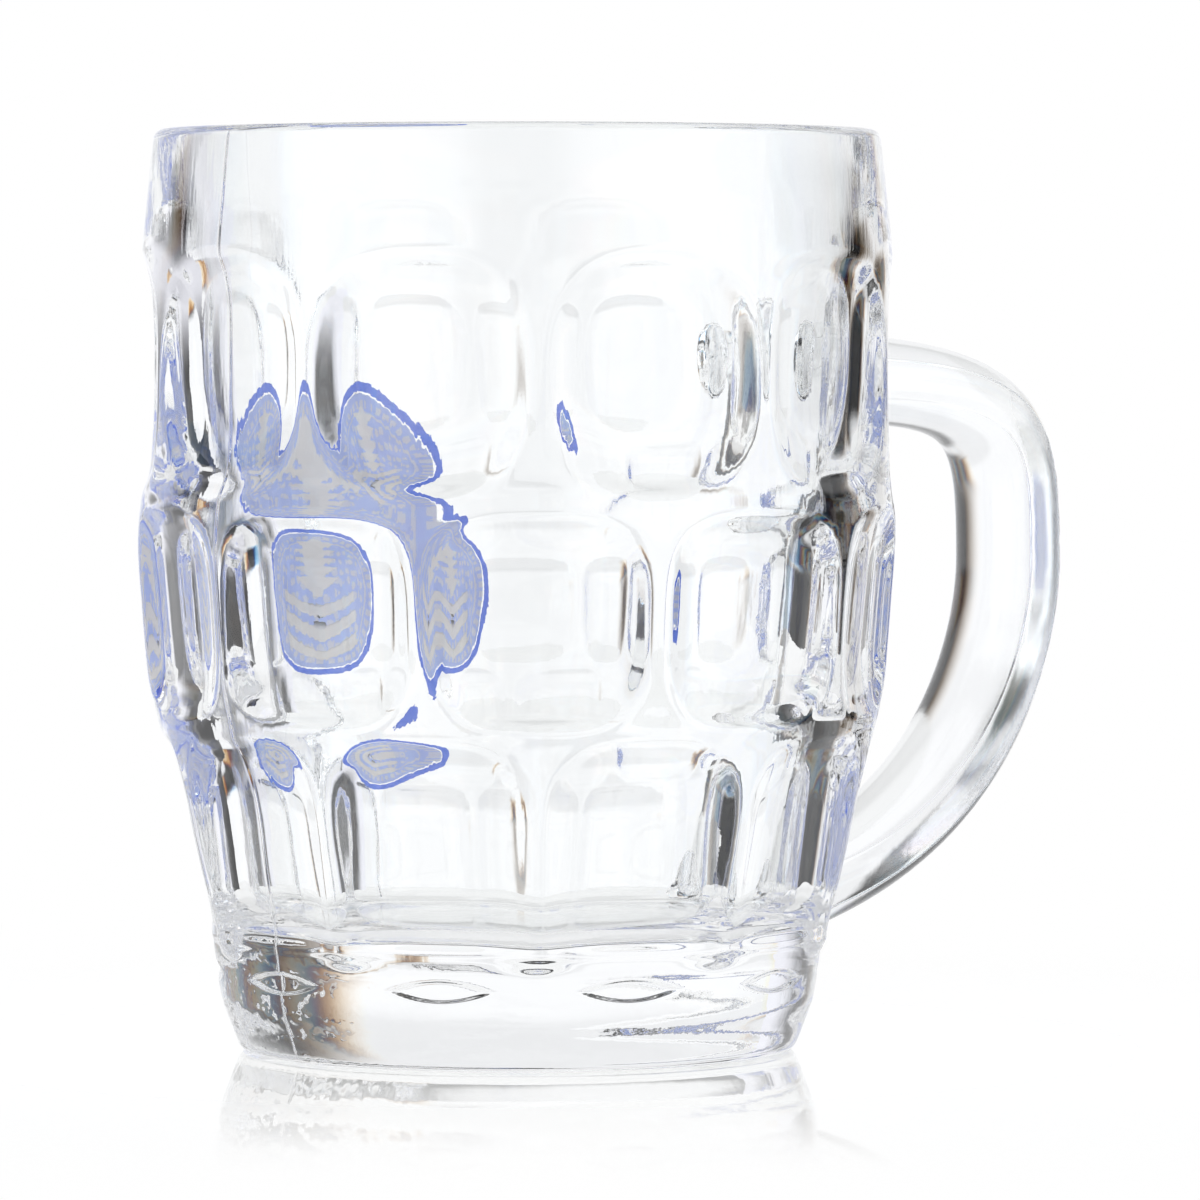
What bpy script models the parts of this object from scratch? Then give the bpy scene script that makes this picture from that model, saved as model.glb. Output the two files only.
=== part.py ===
"""Dimpled pint beer mug of clear pressed glass, with a handle and a fired enamel print. Metres, +Z up.

The origin is the centre of the flat underside. The handle points along +X and the print faces +Y.
"""

from math import copysign, cos, pi, radians, sin

import bmesh
import bpy
from mathutils import Vector
from mathutils.geometry import interpolate_bezier

# The wall from the underside up, as a stack of heights
HEEL_HEIGHT = 0.0135
BOTTOM_DIMPLE_HEIGHT = 0.0283
MIDDLE_DIMPLE_HEIGHT = 0.0272
TOP_DIMPLE_HEIGHT = 0.0305
ROW_RIDGE = 0.002
RIM_BAND = 0.0165

# Outer radii of the wall, over the ridges between the dimples
FOOT_RADIUS = 0.0362
HEEL_RADIUS = 0.0390
HEEL_BEND_HEIGHT = 0.0072
SKIRT_RADIUS = 0.0404
WAIST_RADIUS = 0.0475
BELLY_RADIUS = 0.0496
SHOULDER_RADIUS = 0.0490
RIM_RADIUS = 0.0475

# Glass thickness, from the same ridges to the smooth inside
RIM_WALL = 0.0027
SHOULDER_WALL = 0.0052
BELLY_WALL = 0.0082
WAIST_WALL = 0.0087
SKIRT_WALL = 0.0062
BASE_THICKNESS = 0.0155
INSIDE_CORNER = 0.0085

# Dimples
DIMPLES_PER_ROW = 10
DIMPLE_DEPTH = 0.0026
COLUMN_RIDGE = 0.0022
DIMPLE_SQUARENESS = 3.2
ARCH_FOOT_SQUARENESS = 5.0
DIMPLE_FLATNESS = 3.8
DIMPLE_FLANK = 0.9

# Handle: a flat oval bar swept from the upper root round the bow to the lower root
HANDLE_THICKNESS = 0.0116
HANDLE_WIDTH = 0.0166
HANDLE_SQUARENESS = 2.1
FINGER_GAP = 0.0321
UPPER_ROOT_BELOW_RIM = 0.0327
LOWER_ROOT_HEIGHT = 0.0177
LOWER_ROOT_RISE = radians(5.6)
BOW_HEIGHT = 0.0625
UPPER_PULL = 0.040
BOW_PULL_UP = 0.0196
BOW_PULL_DOWN = 0.0153
LOWER_PULL = 0.0368
ROOT_FLARE = 0.14
FLARE_LENGTH = 0.030

# Enamel print, drawn flat and laid on the wall
PRINT_WIDTH = 0.0472
PRINT_HEIGHT = 0.0426
PRINT_CENTRE_HEIGHT = 0.0613
PRINT_TURN = radians(1.5)
PRINT_SQUARENESS = 2.2
BORDER_WIDTH = 0.0018
MOTIF_MARGIN = 0.0024
EAR_HALF_WIDTH = 0.0056
EAR_CORE = 0.0019
EAR_GRAINS = 5
CHEVRONS = 3
CHEVRON_SHARE = 0.5
CHEVRON_DROP = 0.0040
CHEVRON_THICKNESS = 0.0026
CHEVRON_SPACE = 0.0020
ENAMEL = 0.0004

# Gaps between neighbouring solids
SEAT_GAP = 0.0003
PATCH_GAP = 0.0004

# Fineness of the round shapes
TURN_STEPS = 60
STEPS_PER_SPAN = 2
ARC_STEPS = 4
DIMPLE_SEGMENTS = 16
DIMPLE_RINGS = (0.5, 0.78, 0.93, 1.0)
PANEL_SEGMENTS = 32
HANDLE_STATIONS = 15
HANDLE_SEGMENTS = 16
MERGE = 1e-5

# Heights and radii that follow from the stack
BOTTOM_ROW_TOP = HEEL_HEIGHT + BOTTOM_DIMPLE_HEIGHT
MIDDLE_ROW_FOOT = BOTTOM_ROW_TOP + ROW_RIDGE
MIDDLE_ROW_TOP = MIDDLE_ROW_FOOT + MIDDLE_DIMPLE_HEIGHT
TOP_ROW_FOOT = MIDDLE_ROW_TOP + ROW_RIDGE
TOP_ROW_TOP = TOP_ROW_FOOT + TOP_DIMPLE_HEIGHT
HEIGHT = TOP_ROW_TOP + RIM_BAND
WAIST_HEIGHT = BOTTOM_ROW_TOP + ROW_RIDGE / 2
BELLY_HEIGHT = MIDDLE_ROW_TOP + ROW_RIDGE / 2
RIM_ROUND = RIM_WALL / 2
OUTER_WALL = (
    (0.0, FOOT_RADIUS),
    (HEEL_BEND_HEIGHT, HEEL_RADIUS),
    (HEEL_HEIGHT, SKIRT_RADIUS),
    (WAIST_HEIGHT, WAIST_RADIUS),
    (BELLY_HEIGHT, BELLY_RADIUS),
    (TOP_ROW_TOP, SHOULDER_RADIUS),
    (HEIGHT - RIM_ROUND, RIM_RADIUS),
)


def smooth_radius(stations, height):
    """The radius at a height, on a smooth curve through rising (height, radius) stations."""
    heights = [station[0] for station in stations]
    span = max(i for i in range(len(heights) - 1) if height >= heights[i] or i == 0)

    def slope(i):
        low, high = stations[max(i - 1, 0)], stations[min(i + 1, len(stations) - 1)]
        return (high[1] - low[1]) / (high[0] - low[0])

    (z0, r0), (z1, r1) = stations[span], stations[span + 1]
    length = z1 - z0
    t = (height - z0) / length
    return (
        r0 * (1 + 2 * t) * (1 - t) ** 2
        + slope(span) * length * t * (1 - t) ** 2
        + r1 * t * t * (3 - 2 * t)
        + slope(span + 1) * length * t * t * (t - 1)
    )


def wall_radius(height):
    return smooth_radius(OUTER_WALL, min(max(height, 0.0), HEIGHT - RIM_ROUND))


def wall_line(stations):
    """(radius, height) points up a wall, a few for each span between its stations."""
    line = []
    for (low, _), (high, _) in zip(stations, stations[1:]):
        for step in range(STEPS_PER_SPAN):
            height = low + (high - low) * step / STEPS_PER_SPAN
            line.append((smooth_radius(stations, height), height))
    top_height, top_radius = stations[-1]
    return line + [(top_radius, top_height)]


def arc(centre, radius, start, end):
    """(radius, height) points of a round stretch, without its two ends."""
    angles = (start + (end - start) * step / ARC_STEPS for step in range(1, ARC_STEPS))
    return [(centre[0] + radius * cos(a), centre[1] + radius * sin(a)) for a in angles]


def new_object(name, mesh):
    piece = bpy.data.objects.new(name, mesh)
    bpy.context.scene.collection.objects.link(piece)
    return piece


def helper(piece):
    """Marks a cutter, which shapes other pieces and is no piece itself."""
    piece.hide_render = True
    piece.display_type = "WIRE"
    return piece


def turned(name, outline):
    """A solid turned about Z from (radius, height) points that run from axis to axis."""
    mesh = bpy.data.meshes.new(name)
    edges = [(i, i + 1) for i in range(len(outline) - 1)]
    mesh.from_pydata([(radius, 0.0, height) for radius, height in outline], edges, [])
    piece = new_object(name, mesh)
    turn = piece.modifiers.new("turn", "SCREW")
    turn.axis = "Z"
    turn.steps = turn.render_steps = TURN_STEPS
    turn.use_merge_vertices = True
    turn.merge_threshold = MERGE
    return piece


def shape_with(piece, operation, tool):
    boolean = piece.modifiers.new(tool.name, "BOOLEAN")
    boolean.operation = operation
    boolean.solver = "EXACT"
    boolean.object = tool


def superellipse(angle, squareness_up, squareness_down):
    """A point of the unit outline at an angle, rounder or squarer above and below its middle."""
    power = 2 / (squareness_up if sin(angle) >= 0 else squareness_down)
    x = copysign(abs(cos(angle)) ** power, cos(angle))
    y = copysign(abs(sin(angle)) ** power, sin(angle))
    return x, y


def dimple_press(spread):
    """How deep the press goes, from 1 at the middle of a dimple to 0 at its edge."""
    return (1 - spread**DIMPLE_FLATNESS) ** DIMPLE_FLANK


def punch_rings(bm, foot, top, foot_squareness, column, grow):
    """The rings of one punch from its outer lid to the middle of its face, for a wall grown outwards."""
    middle, half_height = (foot + top) / 2, (top - foot) / 2 - grow
    half_width = pi / DIMPLES_PER_ROW - (COLUMN_RIDGE / 2 + grow) / wall_radius(middle)
    facing = column * 2 * pi / DIMPLES_PER_ROW

    def ring(spread, stand):
        points = []
        for step in range(DIMPLE_SEGMENTS):
            turn = (step + 0.5) * 2 * pi / DIMPLE_SEGMENTS
            x, y = superellipse(turn, DIMPLE_SQUARENESS, foot_squareness)
            height = middle + half_height * spread * y
            radius = wall_radius(height) + grow + stand
            angle = facing + half_width * spread * x
            points.append(bm.verts.new((radius * cos(angle), radius * sin(angle), height)))
        return points

    lid = ring(1.0, 2 * DIMPLE_DEPTH)
    face = [ring(spread, -DIMPLE_DEPTH * dimple_press(spread)) for spread in reversed(DIMPLE_RINGS)]
    return [lid] + face


def dimple_punches(name, foot, top, foot_squareness, columns, grow):
    """One cutter with a punch at each of a row's columns."""
    bm = bmesh.new()
    for column in columns:
        rings = punch_rings(bm, foot, top, foot_squareness, column, grow)
        for outer, inner in zip(rings, rings[1:]):
            for i in range(DIMPLE_SEGMENTS):
                j = (i + 1) % DIMPLE_SEGMENTS
                bm.faces.new((outer[i], outer[j], inner[j], inner[i]))
        bmesh.ops.poke(bm, faces=[bm.faces.new(rings[-1]), bm.faces.new(reversed(rings[0]))])
    bmesh.ops.recalc_face_normals(bm, faces=bm.faces)
    mesh = bpy.data.meshes.new(name)
    bm.to_mesh(mesh)
    bm.free()
    return helper(new_object(name, mesh))


def press_dimples(piece, grow):
    """Presses the three staggered rows, leaving a plain pad in the top and bottom rows for the handle."""
    in_line = range(1, DIMPLES_PER_ROW)
    staggered = [column + 0.5 for column in range(DIMPLES_PER_ROW)]
    rows = (
        ("bottom", HEEL_HEIGHT, BOTTOM_ROW_TOP, ARCH_FOOT_SQUARENESS, in_line),
        ("middle", MIDDLE_ROW_FOOT, MIDDLE_ROW_TOP, DIMPLE_SQUARENESS, staggered),
        ("top", TOP_ROW_FOOT, TOP_ROW_TOP, DIMPLE_SQUARENESS, in_line),
    )
    for row, foot, top, foot_squareness, columns in rows:
        name = f"{piece.name}_{row}_punches"
        shape_with(piece, "DIFFERENCE", dimple_punches(name, foot, top, foot_squareness, columns, grow))


def body_outline():
    """Half section of the bowl: inside floor, inside wall, rounded rim, outer wall and underside."""
    floor_corner = BASE_THICKNESS + INSIDE_CORNER
    inside = (
        (floor_corner, wall_radius(floor_corner) - SKIRT_WALL),
        (WAIST_HEIGHT, WAIST_RADIUS - WAIST_WALL),
        (BELLY_HEIGHT, BELLY_RADIUS - BELLY_WALL),
        (TOP_ROW_TOP, SHOULDER_RADIUS - SHOULDER_WALL),
        (HEIGHT - RIM_ROUND, RIM_RADIUS - RIM_WALL),
    )
    floor_radius = inside[0][1] - INSIDE_CORNER
    corner = arc((floor_radius, floor_corner), INSIDE_CORNER, -pi / 2, 0)
    rim = arc((RIM_RADIUS - RIM_ROUND, HEIGHT - RIM_ROUND), RIM_ROUND, pi, 0)
    floor = [(0.0, BASE_THICKNESS), (floor_radius, BASE_THICKNESS)]
    return floor + corner + wall_line(inside) + rim + wall_line(OUTER_WALL)[::-1] + [(0.0, 0.0)]


def make_body():
    body = turned("body", body_outline())
    press_dimples(body, 0.0)
    return body


def grown_mug(name, grow):
    """The mug's outer form as a full solid of flat triangles, grown outwards, to cut what lies on the wall."""
    wall = [(radius + grow, height) for radius, height in wall_line(OUTER_WALL)]
    foot_radius, top_radius = wall[0][0], wall[-1][0]
    below, above = -SEAT_GAP, HEIGHT + SEAT_GAP
    outline = [(0.0, above), (top_radius, above)] + wall[::-1] + [(foot_radius, below), (0.0, below)]
    mug = helper(turned(name, outline))
    press_dimples(mug, grow)
    mug.modifiers.new("flat_faces", "TRIANGULATE")
    return mug


def handle_path():
    """Points and directions along the middle of the handle, as (outwards, height) pairs."""
    upper_height = HEIGHT - UPPER_ROOT_BELOW_RIM
    upper = Vector((wall_radius(upper_height) - BELLY_WALL / 2, upper_height))
    lower = Vector((wall_radius(LOWER_ROOT_HEIGHT) - SKIRT_WALL / 2, LOWER_ROOT_HEIGHT))
    bow = Vector((BELLY_RADIUS + FINGER_GAP + HANDLE_THICKNESS / 2, BOW_HEIGHT))
    rise = Vector((cos(LOWER_ROOT_RISE), sin(LOWER_ROOT_RISE)))
    up = Vector((0.0, 1.0))
    first = interpolate_bezier(
        upper, upper + Vector((UPPER_PULL, 0.0)), bow + BOW_PULL_UP * up, bow, HANDLE_STATIONS
    )
    second = interpolate_bezier(
        bow, bow - BOW_PULL_DOWN * up, lower + LOWER_PULL * rise, lower, HANDLE_STATIONS
    )
    points = [Vector((p.x, p.y)) for p in first + second[1:]]
    ends = len(points) - 1
    ways = [(points[min(i + 1, ends)] - points[max(i - 1, 0)]).normalized() for i in range(ends + 1)]
    return points, ways


def make_handle(wall):
    """A swept bar of flat oval section that flares at both roots, cut to the wall it stands on."""
    points, ways = handle_path()
    origin = points[0]
    bm = bmesh.new()
    rings = []
    for point, way in zip(points, ways):
        from_root = min((point - points[0]).length, (point - points[-1]).length)
        size = 1 + ROOT_FLARE * max(0.0, 1 - from_root / FLARE_LENGTH) ** 2
        ring = []
        for step in range(HANDLE_SEGMENTS):
            x, y = superellipse(step * 2 * pi / HANDLE_SEGMENTS, HANDLE_SQUARENESS, HANDLE_SQUARENESS)
            out = point - origin + Vector((-way.y, way.x)) * (size * x * HANDLE_THICKNESS / 2)
            ring.append(bm.verts.new((out.x, size * y * HANDLE_WIDTH / 2, out.y)))
        rings.append(ring)
    for ring, after in zip(rings, rings[1:]):
        for i in range(HANDLE_SEGMENTS):
            j = (i + 1) % HANDLE_SEGMENTS
            bm.faces.new((ring[i], ring[j], after[j], after[i]))
    bm.faces.new(rings[0])
    bm.faces.new(rings[-1])
    bmesh.ops.recalc_face_normals(bm, faces=bm.faces)
    mesh = bpy.data.meshes.new("handle")
    bm.to_mesh(mesh)
    bm.free()
    handle = new_object("handle", mesh)
    handle.location = (origin.x, 0.0, origin.y)
    shape_with(handle, "DIFFERENCE", wall)
    return handle


def offset_outline(outline, by):
    """A flat outline that runs counterclockwise, moved out from its own edges by a distance."""
    moved = []
    for before, here, after in zip(outline[-1:] + outline[:-1], outline, outline[1:] + outline[:1]):
        way_in, way_out = (here - before).normalized(), (after - here).normalized()
        side_in, side_out = Vector((way_in.y, -way_in.x)), Vector((way_out.y, -way_out.x))
        moved.append(here + (side_in + side_out) * (by / (1 + side_in.dot(side_out))))
    return moved


def panel_outline(inset):
    """The print's outer shape, a full oval, drawn in by a distance."""
    outline = []
    for step in range(PANEL_SEGMENTS):
        x, y = superellipse(step * 2 * pi / PANEL_SEGMENTS, PRINT_SQUARENESS, PRINT_SQUARENESS)
        outline.append(Vector((x * (PRINT_WIDTH / 2 - inset), y * (PRINT_HEIGHT / 2 - inset))))
    return outline


def chevron_point(number):
    """The height of a chevron's lower point, counted up from the lowest."""
    field_foot = BORDER_WIDTH + PATCH_GAP - PRINT_HEIGHT / 2
    return field_foot + MOTIF_MARGIN + number * (CHEVRON_THICKNESS + CHEVRON_SPACE)


def chevron_outline(number):
    """One of the stacked chevrons under the ear, pointing down."""
    low = chevron_point(number)
    wide = CHEVRON_SHARE * PRINT_WIDTH / 2
    points = (
        (0.0, low),
        (wide, low + CHEVRON_DROP),
        (wide, low + CHEVRON_DROP + CHEVRON_THICKNESS),
        (0.0, low + CHEVRON_THICKNESS),
        (-wide, low + CHEVRON_DROP + CHEVRON_THICKNESS),
        (-wide, low + CHEVRON_DROP),
    )
    return [Vector(point) for point in points]


def ear_outline():
    """An ear of grain above the chevrons: a core with pointed grains that lean outwards, and a tip."""
    foot = chevron_point(CHEVRONS - 1) + CHEVRON_THICKNESS + MOTIF_MARGIN
    tip = PRINT_HEIGHT / 2 - BORDER_WIDTH - PATCH_GAP - MOTIF_MARGIN
    grain = (tip - foot) / (EAR_GRAINS + 1)
    right = [Vector((EAR_CORE / 2, foot))]
    for number in range(EAR_GRAINS):
        right.append(Vector((EAR_CORE, foot + grain * (number + 0.5))))
        right.append(Vector((EAR_HALF_WIDTH, foot + grain * (number + 1.4))))
    right.append(Vector((EAR_CORE, tip - grain / 2)))
    left = [Vector((-point.x, point.y)) for point in reversed(right)]
    return right + [Vector((0.0, tip))] + left


def prism(name, outline, overrun=0.0):
    """A flat outline stood upright on the print's side of the mug and drawn out through the wall."""
    near, far = BELLY_RADIUS / 2 - overrun, 2 * BELLY_RADIUS + overrun
    bm = bmesh.new()
    face = bm.faces.new([bm.verts.new((point.x, point.y, -far)) for point in outline])
    drawn = bmesh.ops.extrude_face_region(bm, geom=[face])["geom"]
    verts = [item for item in drawn if isinstance(item, bmesh.types.BMVert)]
    bmesh.ops.translate(bm, verts=verts, vec=(0.0, 0.0, far - near))
    bmesh.ops.recalc_face_normals(bm, faces=bm.faces)
    mesh = bpy.data.meshes.new(name)
    bm.to_mesh(mesh)
    bm.free()
    piece = new_object(name, mesh)
    piece.location = (0.0, 0.0, PRINT_CENTRE_HEIGHT)
    piece.rotation_euler = (pi / 2, 0.0, PRINT_TURN)
    return piece


def opening(name, outline):
    """A cutter for an outline, which runs out past both ends of the prism it cuts."""
    return helper(prism(name, outline, overrun=BORDER_WIDTH))


def lay_on_wall(piece, wall, enamel_face):
    """Keeps only the thin patch of a prism between the wall and the enamel's outer face."""
    shape_with(piece, "INTERSECT", enamel_face)
    shape_with(piece, "DIFFERENCE", wall)
    return piece


def make_print(wall):
    """The enamel patches: a border, a field with openings, and the ear and chevrons that fill them."""
    enamel_face = grown_mug("enamel_face", SEAT_GAP + ENAMEL)
    motifs = {"print_ear": ear_outline()}
    for number in range(CHEVRONS):
        motifs[f"print_chevron_{number + 1}"] = chevron_outline(CHEVRONS - 1 - number)
    border = lay_on_wall(prism("print_border", panel_outline(0.0)), wall, enamel_face)
    shape_with(border, "DIFFERENCE", opening("border_opening", panel_outline(BORDER_WIDTH)))
    field = lay_on_wall(prism("print_field", panel_outline(BORDER_WIDTH + PATCH_GAP)), wall, enamel_face)
    patches = {"border": [border], "field": [field], "motif": []}
    for name, outline in motifs.items():
        shape_with(field, "DIFFERENCE", opening(f"{name}_opening", offset_outline(outline, PATCH_GAP)))
        patches["motif"].append(lay_on_wall(prism(name, outline), wall, enamel_face))
    return patches


def finish(piece, material, parent):
    """Applies a piece's modifiers, shades it smooth up to its edges and hangs it on the mug's empty."""
    bpy.context.view_layer.update()
    shaped = bpy.data.meshes.new_from_object(piece.evaluated_get(bpy.context.evaluated_depsgraph_get()))
    shaped.name = piece.name
    piece.modifiers.clear()
    piece.data = shaped
    shaped.shade_smooth()
    shaped.set_sharp_from_angle(angle=radians(35))
    shaped.materials.clear()
    shaped.materials.append(material)
    piece.parent = parent


def surface(name, colour, roughness, transmission=0.0):
    material = bpy.data.materials.new(name)
    material.use_nodes = True
    shader = material.node_tree.nodes["Principled BSDF"]
    shader.inputs["Base Color"].default_value = (*colour, 1.0)
    shader.inputs["Roughness"].default_value = roughness
    shader.inputs["Metallic"].default_value = 0.0
    shader.inputs["Transmission Weight"].default_value = transmission
    shader.inputs["IOR"].default_value = 1.52
    return material


def make_mug():
    for old in list(bpy.data.objects):
        bpy.data.objects.remove(old)
    mug = new_object("mug", None)
    wall = grown_mug("wall_face", SEAT_GAP)
    body, handle = make_body(), make_handle(wall)
    patches = make_print(wall)
    finish(body, surface("body_glass", (0.95, 0.97, 0.97), 0.02, transmission=1.0), mug)
    finish(handle, surface("handle_glass", (0.95, 0.97, 0.97), 0.03, transmission=1.0), mug)
    colours = {"border": (0.10, 0.22, 0.80), "field": (0.36, 0.46, 0.78), "motif": (0.74, 0.70, 0.64)}
    for kind, pieces in patches.items():
        for patch in pieces:
            finish(patch, surface(f"{patch.name}_enamel", colours[kind], 0.35), mug)
    for tool in [piece for piece in bpy.data.objects if piece.hide_render]:
        bpy.data.objects.remove(tool)


make_mug()
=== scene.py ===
"""Dimpled pint beer mug of clear pressed glass with a fired enamel panel, on a white table.

Shapes are worked out in millimetres in the frame of the CAD: Z up from the underside, handle along +X, panel
facing +Y. Materials, table, studio and camera are in metres.
"""

import bpy
import numpy as np
from mathutils import Matrix


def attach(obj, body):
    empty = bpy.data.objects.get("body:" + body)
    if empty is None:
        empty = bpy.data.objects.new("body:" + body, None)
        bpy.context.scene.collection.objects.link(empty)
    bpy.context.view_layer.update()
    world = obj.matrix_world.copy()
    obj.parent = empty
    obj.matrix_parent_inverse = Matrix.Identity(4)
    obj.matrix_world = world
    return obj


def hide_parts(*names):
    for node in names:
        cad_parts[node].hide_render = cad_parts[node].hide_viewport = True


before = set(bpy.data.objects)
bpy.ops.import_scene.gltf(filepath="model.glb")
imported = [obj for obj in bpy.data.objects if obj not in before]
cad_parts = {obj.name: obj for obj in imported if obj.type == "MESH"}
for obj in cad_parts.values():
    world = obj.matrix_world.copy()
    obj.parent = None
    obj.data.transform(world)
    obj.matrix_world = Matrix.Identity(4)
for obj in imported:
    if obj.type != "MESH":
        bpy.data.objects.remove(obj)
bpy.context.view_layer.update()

# Bowl: one gob of clear soda-lime glass, pressed in a two-part mould round a smooth plunger.
# The outside has a plain rim band, three staggered rows of sunk dimples and a round heel with a small mark
# like an eye under each flute. The inside is smooth, over a thick base.
MM = 0.001
DIMPLES = 10
ROWS = (  # foot, top, stagger in pitches, squareness
    (12.5, 42.8, 0.0, 3.6),
    (42.8, 71.9, 0.5, 3.6),
    (71.9, 104.6, 0.0, 2.7),
)
DIMPLE_FLATNESS, DIMPLE_REACH, RIDGE_SHARE = 4.0, 0.984, 0.13
RIM_FOOT, RIM_ROUND, RIM_RADIUS = 118.65, 1.35, 46.15
DEPTH_LINE = np.array((  # height, depth of the dimples
    (8.0, 1.3), (15.6, 1.55), (23.0, 2.0), (31.0, 2.43), (44.0, 2.79), (70.0, 2.79), (78.0, 2.47),
    (RIM_FOOT, 2.45),
))
RIDGE_LINE = np.array((  # height, radius of the ridges
    (11.6, 37.0), (12.8, 39.9), (14.2, 41.0), (16.6, 41.5), (21.9, 42.9), (27.0, 44.1), (32.3, 45.2),
    (37.6, 46.3), (43.0, 47.05), (48.0, 48.2), (53.3, 48.75), (58.5, 49.15), (63.7, 49.53), (66.3, 49.6),
    (69.0, 49.5), (73.0, 49.05), (80.0, 49.35), (90.0, 49.4), (98.0, 49.2), (105.6, 48.9), (110.8, 48.35),
    (116.0, 47.82), (RIM_FOOT, 47.5),
))
HEEL_LINE = np.array((
    (0.0, 36.0), (0.4, 36.35), (0.9, 36.65), (2.0, 37.1), (3.5, 37.65), (6.2, 38.65), (9.0, 39.2),
    (11.4, 39.5), (14.0, 39.75), (15.6, 39.85), (17.0, 39.2), (18.2, 37.5), (20.0, 34.0),
))
INSIDE_LINE = np.array((
    (24.0, 36.4), (43.0, 38.6), (58.0, 40.6), (73.0, 41.4), (88.0, 43.15), (102.0, 43.75), (RIM_FOOT, 44.8),
))
WELL_INSIDE, HEEL_BLEND = 30.0, 0.4
FLOOR_HEIGHT, FLOOR_CORNER = 15.5, 8.5
MARK_HEIGHT, MARK_HALF_HEIGHT, MARK_DEPTH, MARK_EDGE = 10.3, 1.5, 0.4, 0.3
MARK_HALF_WIDTH = 0.28  # as a share of the dimples' pitch
SEAM_RISE, SEAM_WIDTH, SEAM_FOOT = 0.16, 0.16, 1.0
COLUMNS, COLUMN_CROWDING = 400, 0.45
SEAM_COLUMNS = np.array((-0.007, -0.0045, -0.002, 0.002, 0.0045, 0.007))  # turns from the seam
WALL_STEPS = (  # where a stretch of the wall starts, and its steps up to the next
    (0.0, 4), (1.0, 12), (8.5, 24), (12.5, 20), (17.0, 23), (38.0, 18), (47.0, 20), (69.0, 16), (77.0, 19),
    (98.0, 12), (105.0, 11), (RIM_FOOT, 0),
)
RIM_STEPS, INSIDE_STEPS, CORNER_STEPS = 12, 18, 9
UNDERSIDE_RADII, FLOOR_RADII = np.array((4.0, 14.0, 24.0, 31.0, 34.5, 35.6)), np.array((20.0, 11.0, 3.0))


def flowing(at, line):
    """A smooth curve through (place, value) pairs: a cubic between neighbours, with the slopes of the pairs
    around them."""
    knots, values = line.T
    slopes = np.gradient(values, knots)
    i = np.clip(np.searchsorted(knots, at) - 1, 0, len(knots) - 2)
    span = knots[i + 1] - knots[i]
    t = np.clip((at - knots[i]) / span, 0.0, 1.0)
    return (
        (1 + 2 * t) * (1 - t) ** 2 * values[i] + t * (1 - t) ** 2 * span * slopes[i]
        + t * t * (3 - 2 * t) * values[i + 1] + t * t * (t - 1) * span * slopes[i + 1]
    )


def dimple_press(turn, height):
    """How deep the dimples are, 0 to 1: in each row the spread from the nearest middle is a rounded square's,
    and in the bottom row it runs on down as a flute. The press is flat in the middle and falls away as a
    power of the spread, and a parabola rounds off the ridge over the last share of it. The handle's column
    stays plain in two rows."""
    press = np.zeros(np.broadcast(turn, height).shape)
    inner = 1 - RIDGE_SHARE
    steepness = DIMPLE_FLATNESS * inner ** (DIMPLE_FLATNESS - 1)
    fall = 1 / (inner**DIMPLE_FLATNESS + RIDGE_SHARE * steepness / 2)
    round_off = fall * steepness / (2 * RIDGE_SHARE)
    for foot, top, stagger, squareness in ROWS:
        column = turn * DIMPLES / (2 * np.pi) - stagger
        nearest = np.round(column)
        up = (2 * height - foot - top) / (top - foot)
        if foot == ROWS[0][0]:
            up = np.maximum(up, 0.0)
        spread = np.abs(2 * (column - nearest) / DIMPLE_REACH) ** squareness + np.abs(up) ** squareness
        spread = np.minimum(spread ** (1 / squareness), 1.0)
        bowl = np.where(spread < inner, 1 - fall * spread**DIMPLE_FLATNESS, round_off * (1 - spread) ** 2)
        plain = (stagger == 0) & (nearest % DIMPLES == 0)
        press = np.maximum(press, np.where(plain, 0.0, bowl))
    return press


def outer_radius(turn, height):
    """The outer wall: the ridge line less the dimples, or the heel where that stands further out, as a soft
    maximum of the two. A shallow mark like an eye lies under each flute, and the mould's thin seam stands
    opposite the handle as a bell curve."""
    wall = flowing(height, RIDGE_LINE) - flowing(height, DEPTH_LINE) * dimple_press(turn, height)
    wall = np.where(height < RIDGE_LINE[0, 0], WELL_INSIDE, wall)
    heel = np.where(height > HEEL_LINE[-1, 0], WELL_INSIDE, flowing(height, HEEL_LINE))
    radius = (wall + heel + np.sqrt((wall - heel) ** 2 + HEEL_BLEND**2)) / 2
    column = turn * DIMPLES / (2 * np.pi)
    nearest = np.round(column)
    across, up = (column - nearest) / MARK_HALF_WIDTH, (height - MARK_HEIGHT) / MARK_HALF_HEIGHT
    mark = np.clip((1 - across**2 - np.abs(up)) / MARK_EDGE, 0.0, 1.0) * (nearest % DIMPLES != 0)
    radius = radius - MARK_DEPTH * mark * mark * (3 - 2 * mark)
    off_seam = (np.mod(turn, 2 * np.pi) - np.pi) * radius
    return radius + SEAM_RISE * np.exp(-((off_seam / SEAM_WIDTH) ** 2)) * (height > SEAM_FOOT)


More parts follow.
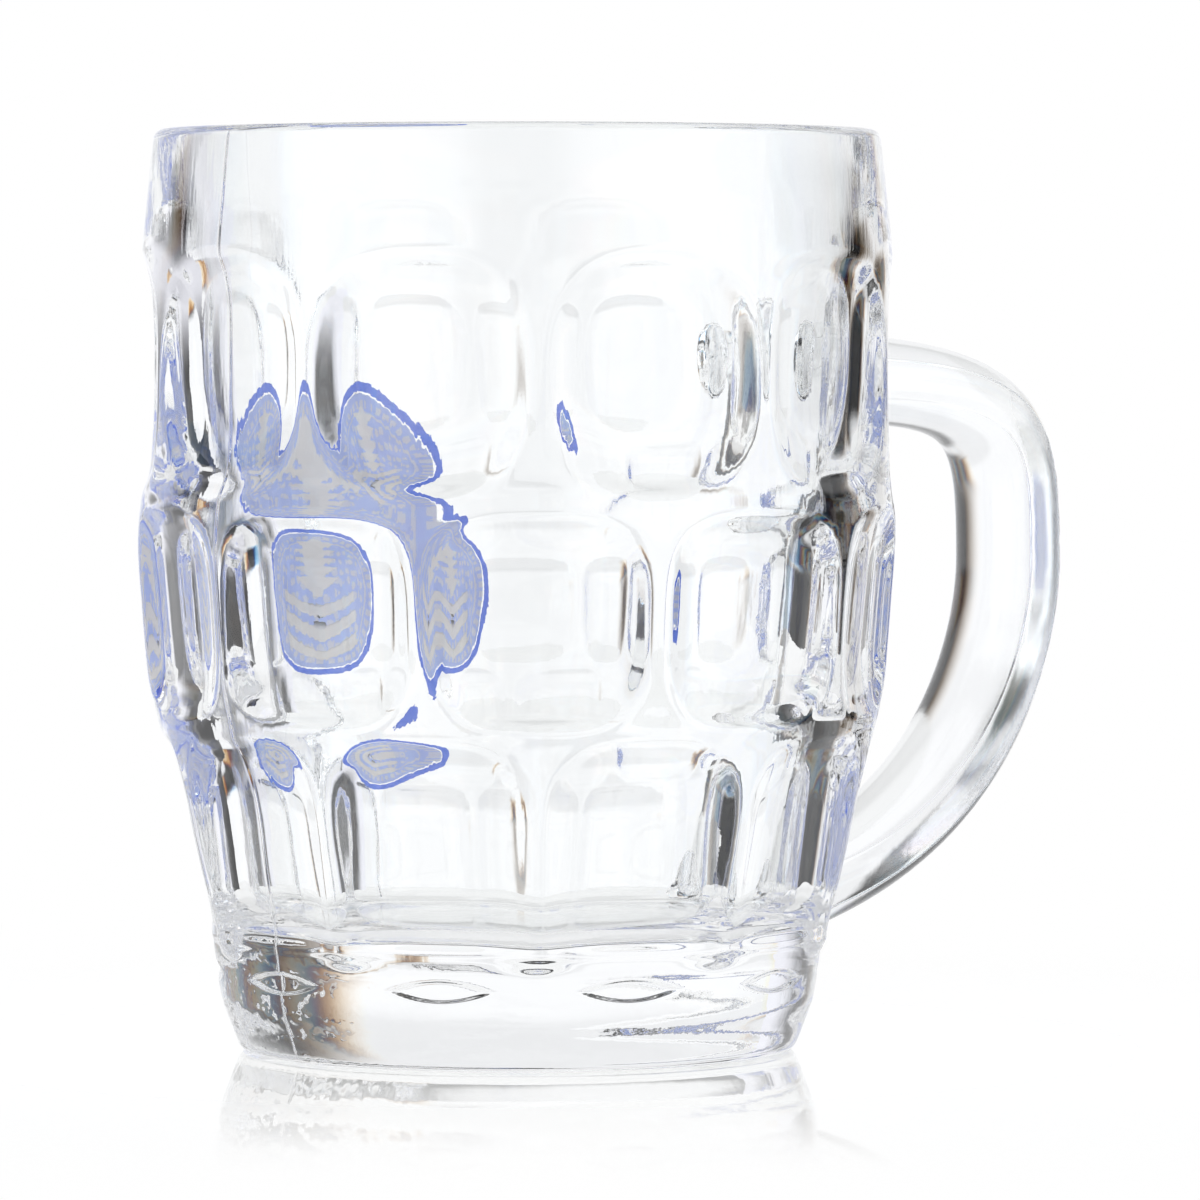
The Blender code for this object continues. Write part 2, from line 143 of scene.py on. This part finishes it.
def closed_skin(name, rings, joined=False):
    """A closed mesh from rings of points in millimetres: a band of quads joins each ring to the next. The
    last ring joins the first, or else a flat face closes each end."""
    count, around = rings.shape[:2]
    index = np.arange(count * around).reshape(count, around)
    after = np.roll(index, -1, axis=1)
    here, there = (index, np.roll(index, -1, axis=0)) if joined else (index[:-1], index[1:])
    turned, turned_there = (after, np.roll(after, -1, axis=0)) if joined else (after[:-1], after[1:])
    faces = np.stack([here, turned, turned_there, there], -1).reshape(-1, 4).tolist()
    if not joined:
        faces += [index[0, ::-1].tolist(), index[-1].tolist()]
    mesh = bpy.data.meshes.new(name)
    mesh.from_pydata(rings.reshape(-1, 3) * MM, [], faces)
    mesh.shade_smooth()
    piece = bpy.data.objects.new(name, mesh)
    bpy.context.scene.collection.objects.link(piece)
    return piece


def bowl_rings():
    """Rings from the middle of the underside out to the heel, up the outer wall, over the round rim, down the
    inside and round the corner to the middle of the floor. Columns crowd at the ridges, as a sine of the
    turn, and at the seam."""
    steps = np.arange(COLUMNS) * 2 * np.pi / COLUMNS
    turns = steps - COLUMN_CROWDING * np.sin(2 * DIMPLES * steps) / (2 * DIMPLES)
    turns = np.sort(np.concatenate([turns, np.pi + SEAM_COLUMNS]))[None, :]
    stretches = [
        np.linspace(foot, top, count, endpoint=False)
        for (foot, count), (top, _) in zip(WALL_STEPS, WALL_STEPS[1:])
    ]
    heights = np.concatenate([*stretches, [RIM_FOOT]])[:, None]
    over = np.linspace(0.0, np.pi, RIM_STEPS + 1)[1:-1, None]
    inside = np.linspace(RIM_FOOT, INSIDE_LINE[0, 0], INSIDE_STEPS + 1)[:, None]
    round_in = np.linspace(0.0, np.pi / 2, CORNER_STEPS + 1)[1:, None]
    corner_radius = INSIDE_LINE[0, 1] - FLOOR_CORNER
    plain = np.ones_like(turns)
    radii = np.concatenate([
        UNDERSIDE_RADII[:, None] * plain,
        outer_radius(turns, heights),
        (RIM_RADIUS + RIM_ROUND * np.cos(over)) * plain,
        flowing(inside, INSIDE_LINE) * plain,
        (corner_radius + FLOOR_CORNER * np.cos(round_in)) * plain,
        FLOOR_RADII[:, None] * plain,
    ])
    levels = np.concatenate([
        np.zeros((len(UNDERSIDE_RADII), 1)),
        heights,
        RIM_FOOT + RIM_ROUND * np.sin(over),
        inside,
        FLOOR_HEIGHT + FLOOR_CORNER * (1 - np.sin(round_in)),
        np.full((len(FLOOR_RADII), 1), FLOOR_HEIGHT),
    ])
    return np.stack([radii * np.cos(turns), radii * np.sin(turns), levels * plain], -1)


glass_mug = closed_skin("glass_mug", bowl_rings())

# Handle: a flat oval bar of the same glass, pressed with the bowl and fused to it at two flared roots.
# The mould leaves two fine raised lines along its side away from the panel.
HANDLE_THICKNESS, HANDLE_WIDTH, HANDLE_SQUARENESS = 11.6, 16.6, 2.1
HANDLE_GIRTH_RADIUS = HANDLE_WIDTH / 2.4
UPPER_ROOT, LOWER_ROOT, HANDLE_BOW = np.array((46.3, 87.3)), np.array((38.8, 17.7)), np.array((87.55, 62.5))
UPPER_PULL, LOWER_PULL = (39.2, 0.0), (36.6, 3.6)
BOW_PULL_UP, BOW_PULL_DOWN = (0.0, 19.6), (0.0, 15.3)
UPPER_POINTS, LOWER_POINTS, POINTS_AROUND = 50, 56, 44
ROOT_SWELL, ROOT_REACH = 0.14, 30.0
FILLET_SWELL, FILLET_START, FILLET_REACH = 0.22, 3.0, 2.2
HANDLE_SEAM_TURNS, HANDLE_SEAM_RISE, HANDLE_SEAM_SWING = (65.0, 115.0), 0.1, 0.06
HANDLE_SEAM_COLUMNS = np.linspace(-0.05, 0.05, 7)  # turns from each seam
SWING_PACE, SWING_DRIFT = 1.9, 0.73


def bezier(ends, count):
    """Points on a cubic curve from its four control points."""
    t = np.linspace(0.0, 1.0, count)[:, None]
    a, b, c, d = ends
    return a * (1 - t) ** 3 + 3 * b * t * (1 - t) ** 2 + 3 * c * t * t * (1 - t) + d * t**3


def handle_rings():
    """A superellipse carried from the upper root out to the bow and back to the lower root. It swells as the
    square of the nearness to a root, with a small fillet at the wall that dies away as an exponential. The
    seams are bell curves on it, uneven along the way."""
    upper = (UPPER_ROOT, UPPER_ROOT + UPPER_PULL, HANDLE_BOW + BOW_PULL_UP, HANDLE_BOW)
    lower = (HANDLE_BOW, HANDLE_BOW - BOW_PULL_DOWN, LOWER_ROOT + LOWER_PULL, LOWER_ROOT)
    path = np.concatenate([bezier(upper, UPPER_POINTS), bezier(lower, LOWER_POINTS)[1:]])
    way = np.gradient(path, axis=0)
    pace = np.linalg.norm(way, axis=1, keepdims=True)
    way, along = way / pace, np.cumsum(pace)[:, None]
    from_root = np.minimum(*(np.linalg.norm(path - path[end], axis=1) for end in (0, -1)))
    root = ROOT_SWELL * np.clip(1 - from_root / ROOT_REACH, 0, 1) ** 2
    fillet = FILLET_SWELL * np.exp(-np.clip(from_root - FILLET_START, 0, None) / FILLET_REACH)
    around = np.linspace(0.0, 2 * np.pi, POINTS_AROUND, endpoint=False)
    seams = np.radians(HANDLE_SEAM_TURNS)[:, None]
    around = np.sort(np.concatenate([around, (seams + HANDLE_SEAM_COLUMNS).ravel()]))
    off_seam = np.min(np.abs(around - seams), axis=0) * HANDLE_GIRTH_RADIUS
    power = 2 / HANDLE_SQUARENESS
    thick = np.sign(np.cos(around)) * np.abs(np.cos(around)) ** power * HANDLE_THICKNESS / 2
    wide = -np.sign(np.sin(around)) * np.abs(np.sin(around)) ** power * HANDLE_WIDTH / 2
    swing = np.sin(SWING_PACE * along) * np.sin(SWING_DRIFT * along + 1.0)
    burr = HANDLE_SEAM_RISE + HANDLE_SEAM_SWING * swing
    raised = burr * np.exp(-((off_seam / SEAM_WIDTH) ** 2)) / HANDLE_GIRTH_RADIUS
    swell = (1 + root + fillet)[:, None] + raised
    thick, wide = thick * swell, wide * swell
    return np.stack([path[:, :1] - way[:, 1:] * thick, wide, path[:, 1:] + way[:, :1] * thick], -1)


handle_bar = closed_skin("handle_bar", handle_rings())
fuse = glass_mug.modifiers.new("fuse", "BOOLEAN")
fuse.operation, fuse.solver, fuse.object = "UNION", "EXACT", handle_bar
bpy.context.view_layer.update()
fused = glass_mug.evaluated_get(bpy.context.evaluated_depsgraph_get())
glass_mug.data = bpy.data.meshes.new_from_object(fused)
glass_mug.modifiers.clear()
bpy.data.objects.remove(handle_bar)
glass_mug.data.shade_smooth()
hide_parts("body", "handle")
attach(glass_mug, "root")


class Link:
    """A socket of a shader tree. Arithmetic on it adds Math nodes, and node() adds any other node."""

    def __init__(self, tree, socket=None):
        self.tree, self.socket = tree, socket

    def node(self, kind, settings=None, inputs=None, out=0):
        """A new node: its settings come first, then the values or links of its sockets. Gives one output."""
        made = self.tree.nodes.new(kind)
        for name, value in (settings or {}).items():
            setattr(made, name, value)
        for name, value in (inputs or {}).items():
            if isinstance(value, Link):
                self.tree.links.new(value.socket, made.inputs[name])
            else:
                made.inputs[name].default_value = value
        return Link(self.tree, made.outputs[out] if made.outputs else None)

    def maths(self, operation, *values):
        """One Math node on values or links."""
        return self.node("ShaderNodeMath", {"operation": operation}, dict(enumerate(values)))

    def ramp(self, low, high, start=0.0, end=1.0):
        """From start at low to end at high, eased at both."""
        return self.node("ShaderNodeMapRange", {"interpolation_type": "SMOOTHSTEP"}, {
            "Value": self, "From Min": low, "From Max": high, "To Min": start, "To Max": end,
        })

    def noise(self, scale, detail):
        """Soft random lumps over this place."""
        return self.node("ShaderNodeTexNoise", inputs={"Vector": self, "Scale": scale, "Detail": detail})

    def axis(self, letter):
        """One coordinate of this place."""
        return self.node("ShaderNodeSeparateXYZ", inputs={0: self}, out=letter)

    def along(self, direction):
        """How far this place lies along a direction: their dot product."""
        inputs = {0: self, 1: direction}
        return self.node("ShaderNodeVectorMath", {"operation": "DOT_PRODUCT"}, inputs, out="Value")

    def blend(self, first, second):
        """A colour between two, with this link as the share of the second."""
        inputs = {"Factor": self, "A": first, "B": second}
        return self.node("ShaderNodeMix", {"data_type": "RGBA"}, inputs, out=2)

    def __add__(self, other):
        return self.maths("ADD", self, other)

    def __sub__(self, other):
        return self.maths("SUBTRACT", self, other)

    def __rsub__(self, other):
        return self.maths("SUBTRACT", other, self)

    def __mul__(self, other):
        return self.maths("MULTIPLY", self, other)

    def __truediv__(self, other):
        return self.maths("DIVIDE", self, other)

    def __pow__(self, other):
        return self.maths("POWER", self, other)

    __radd__, __rmul__ = __add__, __mul__


def new_finish(name):
    """An empty material and a Link into its tree."""
    material = bpy.data.materials.new(name)
    material.use_nodes = True
    material.node_tree.nodes.clear()
    return material, Link(material.node_tree)


GLASS_TINT, GLASS_IOR, HANDLE_HAZE = (0.985, 0.992, 0.988, 1.0), 1.52, 0.1
HAIR_STRETCH, HAIR_SHARE, GRAIN_SHARE, WAVE_DEPTH = (1.0, 1.0, 0.15), 0.2, 0.03, 0.00005
RIPPLED_SIDE = (-0.966, 0.259, 0.0)

clear_glass, link = new_finish("clear_glass")
place = link.node("ShaderNodeTexCoord", out="Object")
drawn = link.node("ShaderNodeMapping", inputs={"Vector": place, "Scale": HAIR_STRETCH})
swell, hairs = place.noise(55.0, 1.0), drawn.noise(900.0, 1.0)
grain, ripple = place.noise(2200.0, 1.0), place.noise(260.0, 2.0)
by_handle = place.axis("X").ramp(0.05, 0.07, 0.0, HANDLE_HAZE)
by_heel = place.axis("Z").ramp(0.011, 0.018, 0.6, 0.0)
by_side = place.along(RIPPLED_SIDE).ramp(0.022, 0.036, 0.7, 6.5)
skin = swell + HAIR_SHARE * hairs + GRAIN_SHARE * grain + by_heel * by_side * ripple
waves = link.node("ShaderNodeBump", inputs={"Strength": 1.0, "Distance": WAVE_DEPTH, "Height": skin})
glass = link.node("ShaderNodeBsdfPrincipled", inputs={
    "Base Color": GLASS_TINT, "Roughness": by_handle, "IOR": GLASS_IOR, "Transmission Weight": 1.0,
    "Normal": waves,
})
link.node("ShaderNodeOutputMaterial", inputs={"Surface": glass})
glass_mug.data.materials.append(clear_glass)

# Enamel panel: enamels screened on the outer wall and fired into the glass, a pale blue field with a deep
# blue border, and a cream ear of grain over three chevrons. Fired film is thin, so it follows every dimple.
PANEL_WIDTH, PANEL_HEIGHT, PANEL_MIDDLE, PANEL_SQUARENESS = 47.2, 42.6, 61.3, 2.2
PANEL_TURN, PANEL_BEND = np.radians(91.5), 49.0
BORDER_WIDTH, BORDER_GAP = 1.8, 0.4
GROUND_SUNK, GROUND_PROUD, MOTIF_SUNK, MOTIF_PROUD = 0.05, 0.02, 0.08, 0.04
CHEVRONS, CHEVRON_FOOT, CHEVRON_PITCH, CHEVRON_RISE = 3, -16.7, 4.6, 4.0
CHEVRON_BAND, CHEVRON_HALF_WIDTH = 2.6, 11.8
GRAINS, GRAIN_PITCH, GRAIN_HALF_WIDTH = 5, 3.2, 5.6
EAR_FOOT, EAR_STALK, EAR_NECK, EAR_TIP = -2.5, 1.0, 1.9, 0.15
FIELD_BLUE, BORDER_BLUE, CREAM = (0.40, 0.50, 0.88), (0.04, 0.16, 0.85), (0.76, 0.73, 0.69)
GROUND_ROUGHNESS, MOTIF_ROUGHNESS = 0.3, 0.35
DOT_LATTICE, DOT_JITTER, DOT_STRETCH, DOT_SIZE, DOT_REACH = 420.0, 0.55, 0.7, 0.31, 0.66
OVAL_REACH, OVAL_HALF_WIDTH = 0.71, 0.014
BEADS, BEAD_SHARE, BEAD_REACH, BEAD_HALF_WIDTH = 44, 0.6, 0.8, 0.04
SPRIG_COVER = 0.65
EDGE_POINTS, DISC_RINGS, BORDER_POINTS, CHEVRON_POINTS, BAND_POINTS = 360, 60, 6, 91, 7
EAR_POINTS, EAR_ROWS = 15, 80


def on_wall(across, up, stand):
    """Points over the outer wall for a flat drawing: across is laid round the wall as the sine of a turn
    about the panel's middle, and stand is the height off the glass, negative in it."""
    height = PANEL_MIDDLE + up
    turn = PANEL_TURN - np.arcsin(across / PANEL_BEND)
    radius = outer_radius(turn, height) + stand
    return np.stack([radius * np.cos(turn), radius * np.sin(turn), height], -1)


def film(across, up, sunk, proud):
    """A thin closed film over a grid of the flat drawing, from a face sunk in the glass to one just proud of
    it. Each ring runs along one row of the grid on the proud face and back on the sunk one."""
    front, back = on_wall(across, up, proud), on_wall(across, up, -sunk)
    return np.concatenate([front, back[:, ::-1]], axis=1)


def panel_edge(turn, inset):
    """The panel's outline at a turn about its middle: a full oval, drawn in by a distance."""
    x, y = np.cos(turn), np.sin(turn)
    wide, high = np.abs(x) / (PANEL_WIDTH / 2 - inset), np.abs(y) / (PANEL_HEIGHT / 2 - inset)
    reach = (wide**PANEL_SQUARENESS + high**PANEL_SQUARENESS) ** (-1 / PANEL_SQUARENESS)
    return reach * x, reach * y


def sprigs(place):
    """Where the field's fine cream pattern lies: dots on a jittered lattice, a thin oval line and a ring of
    beads. Reach is the share of the way from the panel's middle to its edge."""
    across, up = place.axis("X"), place.axis("Z") - PANEL_MIDDLE * MM
    wide, high = across / (PANEL_WIDTH / 2 * MM), up / (PANEL_HEIGHT / 2 * MM)
    reach = (wide * wide + high * high) ** 0.5
    around = place.maths("FRACT", place.maths("ARCTAN2", high, wide) * (BEADS / (2 * np.pi)))
    flat = place.node("ShaderNodeCombineXYZ", inputs={0: across, 1: up * DOT_STRETCH})
    cells = place.node("ShaderNodeTexVoronoi", {"voronoi_dimensions": "2D"}, {
        "Vector": flat, "Scale": DOT_LATTICE, "Randomness": DOT_JITTER,
    })
    dots = place.maths("LESS_THAN", cells, DOT_SIZE) * place.maths("LESS_THAN", reach, DOT_REACH)
    oval = place.maths("COMPARE", reach, OVAL_REACH, OVAL_HALF_WIDTH)
    ring = place.maths("COMPARE", reach, BEAD_REACH, BEAD_HALF_WIDTH)
    beads = ring * place.maths("LESS_THAN", around, BEAD_SHARE)
    return place.maths("MINIMUM", dots + oval + beads, 1.0)


def enamel(name, colour, roughness, printed=None):
    """Fired enamel: a flat colour with a faint cloudiness from the screen, a satin surface and perhaps a fine
    pattern in cream."""
    material, link = new_finish(name)
    place = link.node("ShaderNodeTexCoord", out="Object")
    cloud, thin = place.noise(900.0, 3.0), place.noise(160.0, 1.0)
    pale = tuple(0.75 * c + 0.25 for c in colour)
    tone = (cloud * thin * 0.9).blend((*colour, 1.0), (*pale, 1.0))
    if printed:
        tone = (SPRIG_COVER * printed(place)).blend(tone, (*CREAM, 1.0))
    inputs = {"Base Color": tone, "Roughness": roughness + 0.1 * cloud}
    shader = link.node("ShaderNodeBsdfPrincipled", inputs=inputs)
    link.node("ShaderNodeOutputMaterial", inputs={"Surface": shader})
    return material


def lay_film(name, rings, material, joined=False):
    """A film of enamel as a piece of its own, in the place of the CAD's patch of that name."""
    piece = closed_skin(name, rings, joined)
    piece.data.materials.append(material)
    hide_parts(name.removesuffix("_film"))
    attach(piece, "root")


turns = np.linspace(0.0, 2 * np.pi, EDGE_POINTS, endpoint=False)
share = np.linspace(0.02, 1.0, DISC_RINGS)[:, None]
edge = panel_edge(turns[None, :], BORDER_WIDTH + BORDER_GAP)
disc = (share * edge[0], share * edge[1])
rings = np.concatenate([on_wall(*disc, GROUND_PROUD), on_wall(*disc, -GROUND_SUNK)[::-1]])
field_enamel = enamel("field_enamel", FIELD_BLUE, GROUND_ROUGHNESS, sprigs)
lay_film("print_field_film", rings, field_enamel)

inset = np.linspace(0.0, BORDER_WIDTH, BORDER_POINTS)[None, :]
rings = film(*panel_edge(turns[:, None], inset), GROUND_SUNK, GROUND_PROUD)
border_enamel = enamel("border_enamel", BORDER_BLUE, GROUND_ROUGHNESS)
lay_film("print_border_film", rings, border_enamel, joined=True)

motif_enamel = enamel("motif_enamel", CREAM, MOTIF_ROUGHNESS)
side = np.linspace(-1.0, 1.0, CHEVRON_POINTS)[None, :]
band = np.linspace(0.0, CHEVRON_BAND, BAND_POINTS)[:, None]
for number in range(CHEVRONS):
    foot = CHEVRON_FOOT + CHEVRON_PITCH * (CHEVRONS - 1 - number)
    up = foot + CHEVRON_RISE * np.abs(side) + band
    rings = film(CHEVRON_HALF_WIDTH * side + 0 * up, up, MOTIF_SUNK, MOTIF_PROUD)
    lay_film(f"print_chevron_{number + 1}_film", rings, motif_enamel)

grains = np.arange(GRAINS)
tiers = np.sort(np.concatenate([[0.0], grains + 0.5, grains + 1.4, [GRAINS + 0.5, GRAINS + 1.0]]))
heights = tiers * GRAIN_PITCH + EAR_FOOT
widths = np.concatenate([[EAR_STALK], np.tile((EAR_NECK, GRAIN_HALF_WIDTH), GRAINS), [EAR_NECK, EAR_TIP]])
up = np.sort(np.concatenate([heights, np.linspace(heights[0], heights[-1], EAR_ROWS)]))[:, None]
across = np.linspace(-1.0, 1.0, EAR_POINTS)[None, :] * np.interp(up, heights, widths)
rings = film(across, up + 0 * across, MOTIF_SUNK, MOTIF_PROUD)
lay_film("print_ear_film", rings, motif_enamel)

# Table: a sheet of white polished plastic that the mug stands on, evenly bright, with a faint shade near the
# mug. It mirrors the mug's foot, more weakly further out.
TABLE_SIZE, TABLE_DROP, TABLE_IOR, TABLE_ROUGHNESS = 0.42, 0.0003, 2.2, 0.02
WHITE, BOUNCED_WHITE, GLINT = (1.0, 1.0, 1.0, 1.0), (0.93, 0.935, 0.945, 1.0), (0.04, 0.04, 0.03, 1.0)

bpy.ops.mesh.primitive_plane_add(size=TABLE_SIZE, location=(0.0, 0.0, -TABLE_DROP))
table = bpy.context.object
table.name = "table"
table_top, link = new_finish("table_top")
place = link.node("ShaderNodeTexCoord", out="Object")
out = link.node("ShaderNodeVectorMath", {"operation": "LENGTH"}, {0: place}, out="Value")
near = out.ramp(0.035, 0.16, 1.0, 0.0) * link.node("ShaderNodeFresnel", inputs={"IOR": TABLE_IOR})
shade = out.ramp(0.06, 0.26, 0.25, 0.0)
paper = link.node("ShaderNodeLightPath", out="Is Camera Ray").blend(BOUNCED_WHITE, WHITE)
white = link.node("ShaderNodeEmission", inputs={"Color": paper, "Strength": 1.0})
matt = link.node("ShaderNodeBsdfDiffuse", inputs={"Color": WHITE})
base = link.node("ShaderNodeMixShader", inputs={0: shade, 1: white, 2: matt})
mirror = link.node("ShaderNodeBsdfGlossy", inputs={"Color": WHITE, "Roughness": TABLE_ROUGHNESS})
glint = link.node("ShaderNodeEmission", inputs={"Color": GLINT, "Strength": 1.0})
sheen = link.node("ShaderNodeAddShader", inputs={0: mirror, 1: glint})
polished = link.node("ShaderNodeMixShader", inputs={0: near, 1: base, 2: sheen})
link.node("ShaderNodeOutputMaterial", inputs={"Surface": polished})
table.data.materials.append(table_top)

# Flag: a dark card on the mug's left that gives the clear glass its dark edges, fading to white at its inner
# end and its top. Only light that has passed through glass meets it, so the camera doesn't see it.
AHEAD = np.array((0.6347, 0.7727, 0.0))  # the camera's way over the table
BESIDE = np.array((0.7727, -0.6347, 0.0))  # its right
FLAG_ENDS = np.array(((-0.062, 0.104), (-0.125, 0.056)))  # beside the mug, and ahead of it
FLAG_HEIGHT, FLAG_DARK, FLAG_LIGHT, FLAG_BLUE = 0.3, 0.03, 0.95, 1.08

mesh = bpy.data.meshes.new("flag")
foot = FLAG_ENDS @ np.stack([BESIDE, AHEAD])
corners = np.concatenate([foot, foot[::-1] + (0.0, 0.0, FLAG_HEIGHT)])
mesh.from_pydata(corners, [], [(0, 1, 2, 3)])
flag = bpy.data.objects.new("flag", mesh)
bpy.context.scene.collection.objects.link(flag)
flag.visible_camera = flag.visible_diffuse = flag.visible_glossy = flag.visible_shadow = False
dark_card, link = new_finish("dark_card")
place = link.node("ShaderNodeTexCoord", out="Object")
level = place.along(BESIDE).ramp(-0.09, -0.066, FLAG_DARK, FLAG_LIGHT)
top = place.axis("Z").ramp(0.07, 0.11, 0.0, 0.8)
level = level + top * (FLAG_LIGHT - level)
tone = link.node("ShaderNodeCombineColor", inputs={"Red": level, "Green": level, "Blue": FLAG_BLUE * level})
felt = link.node("ShaderNodeEmission", inputs={"Color": tone, "Strength": 1.0})
link.node("ShaderNodeOutputMaterial", inputs={"Surface": felt})
flag.data.materials.append(dark_card)

# Studio: white wherever the camera and matt surfaces look. What the glass bends and mirrors is a white
# backdrop behind and to the left, a dark flag at the right, a dark bar on each side a little above the table,
# a softbox at each front quarter, dimmer towards the camera, and a soft light overhead.
BAR_RISE, BAR_WIDENING = (2, 14, 2), 0.25  # a stretch is its start, its end and its softness, in degrees
BACKDROP, BACKDROP_RISE, BACKDROP_LEVEL = (-108, 28.5, 9.5), (-95, 27, 3), 1.02
BETWEEN_BARS = ((-38, 20, 4), (-108, -58, 6), (62, 90, 6))
RIGHT_FLAG, RIGHT_FLAG_RISE, PAST_FLAG_LEVEL = (28.5, 86, 7), (-20, 18, 4), 0.85
DIM_RISE, DIM_SHARE = (7, 40, 2), 0.12
LEFT_BOX, LEFT_BOX_EDGE, LEFT_BOX_RISE = (-220, -108, 18), (-145, -108, 12), (-95, 31, 4)
RIGHT_BOX, RIGHT_BOX_EDGE, RIGHT_BOX_RISE = (86, 220, 5), (86, 116, 5), (-95, 38, 4)
BOX_EDGE_LEVEL, FRONT_DIMMING, FRONT_SQUARED = 0.55, 0.55, (163**2, 200**2, 3000)
SLATS, SLAT_PACE, SLAT_LEVEL = (20, 90, 3), 0.3, 0.15
OVERHEAD_RISE, OVERHEAD_LEVEL, DARKEST = (52, 95, 5), 0.9, 0.012
COLOUR_SPREAD, RED_LEVEL, GREEN_LEVEL = 0.018, 0.975, 0.98
BOUNCES = 32

world = bpy.data.worlds.new("studio")
bpy.context.scene.world = world
world.use_nodes = True
world.node_tree.nodes.clear()
link = Link(world.node_tree)
way = link.node("ShaderNodeTexCoord", out="Generated")
turn = link.maths("ARCTAN2", way.along(BESIDE), way.along(AHEAD)) * (180 / np.pi)
rise = link.maths("ARCSINE", way.along((0.0, 0.0, 1.0))) * (180 / np.pi)


def between(value, low, high, soft):
    """1 from low to high and 0 outside, with a smooth edge of a given half width at each end."""
    return value.ramp(low - soft, low + soft) * (1 - value.ramp(high - soft, high + soft))


def glow(spread, high):
    """The studio's brightness in one colour, where high is 1 at the bars' rise: glass bends blue more than
    red, so each meets the edges a little apart, the most where the thick base throws it upwards."""
    seen = turn * (1 + spread + spread * high) * (1 - BAR_WIDENING * high)
    low = between(seen, *BACKDROP) * (1 - high)
    upper = sum(between(seen, *stretch) for stretch in BETWEEN_BARS) * high
    past_flag = between(seen, *RIGHT_FLAG) * (1 - between(rise, *RIGHT_FLAG_RISE))
    backdrop = (low + upper + PAST_FLAG_LEVEL * past_flag) * between(rise, *BACKDROP_RISE)
    backdrop = backdrop * (1 - DIM_SHARE * between(rise, *DIM_RISE))
    left_box = between(seen, *LEFT_BOX) + BOX_EDGE_LEVEL * between(seen, *LEFT_BOX_EDGE)
    right_box = between(seen, *RIGHT_BOX) + BOX_EDGE_LEVEL * between(seen, *RIGHT_BOX_EDGE)
    boxes = left_box * between(rise, *LEFT_BOX_RISE) + right_box * between(rise, *RIGHT_BOX_RISE)
    boxes = boxes * (1 - FRONT_DIMMING * between(turn * turn, *FRONT_SQUARED))
    slats = high * between(seen, *SLATS) * link.maths("SINE", seen * SLAT_PACE) ** 2
    overhead = OVERHEAD_LEVEL * between(rise, *OVERHEAD_RISE)
    return DARKEST + SLAT_LEVEL * slats + BACKDROP_LEVEL * backdrop + boxes + overhead


high = between(rise, *BAR_RISE)
colour = link.node("ShaderNodeCombineColor", inputs={
    "Red": RED_LEVEL * glow(-COLOUR_SPREAD, high),
    "Green": GREEN_LEVEL * glow(0.0, high),
    "Blue": glow(COLOUR_SPREAD, high),
})
studio = link.node("ShaderNodeBackground", inputs={"Color": colour, "Strength": 1.0})
white = link.node("ShaderNodeBackground", inputs={"Color": WHITE, "Strength": 1.0})
by_camera = link.node("ShaderNodeLightPath", out="Is Camera Ray")
by_matt = link.node("ShaderNodeLightPath", out="Is Diffuse Ray")
plain = link.maths("MAXIMUM", by_camera, by_matt)
shown = link.node("ShaderNodeMixShader", inputs={0: plain, 1: studio, 2: white})
link.node("ShaderNodeOutputWorld", inputs={"Surface": shown})
paths = bpy.context.scene.cycles
paths.max_bounces = paths.transmission_bounces = paths.glossy_bounces = BOUNCES
paths.blur_glossy = 0.0

# Camera: a long lens a metre away, a little under the height of the rim.
# It looks over the table at the middle of the mug, with the handle at the right.
SENSOR_WIDTH, FOCAL_LENGTH = 36.0, 238.44
CAMERA_STAND, CAMERA_AIM = np.array((-0.6601, -0.8037, 0.0965)), np.array((0.00835, -0.00685, 0.0585))

camera = bpy.data.objects.new("camera", bpy.data.cameras.new("camera"))
bpy.context.scene.collection.objects.link(camera)
camera.data.sensor_width, camera.data.lens = SENSOR_WIDTH, FOCAL_LENGTH
camera.data.clip_start, camera.data.clip_end = 0.01, 20.0
back = (CAMERA_STAND - CAMERA_AIM) / np.linalg.norm(CAMERA_STAND - CAMERA_AIM)
right = np.cross((0.0, 0.0, 1.0), back)
right /= np.linalg.norm(right)
pose = np.eye(4)
pose[:3] = np.stack([right, np.cross(back, right), back, CAMERA_STAND], -1)
camera.matrix_world = Matrix(pose.tolist())
bpy.context.scene.camera = camera
bpy.context.scene.view_settings.view_transform = "Standard"
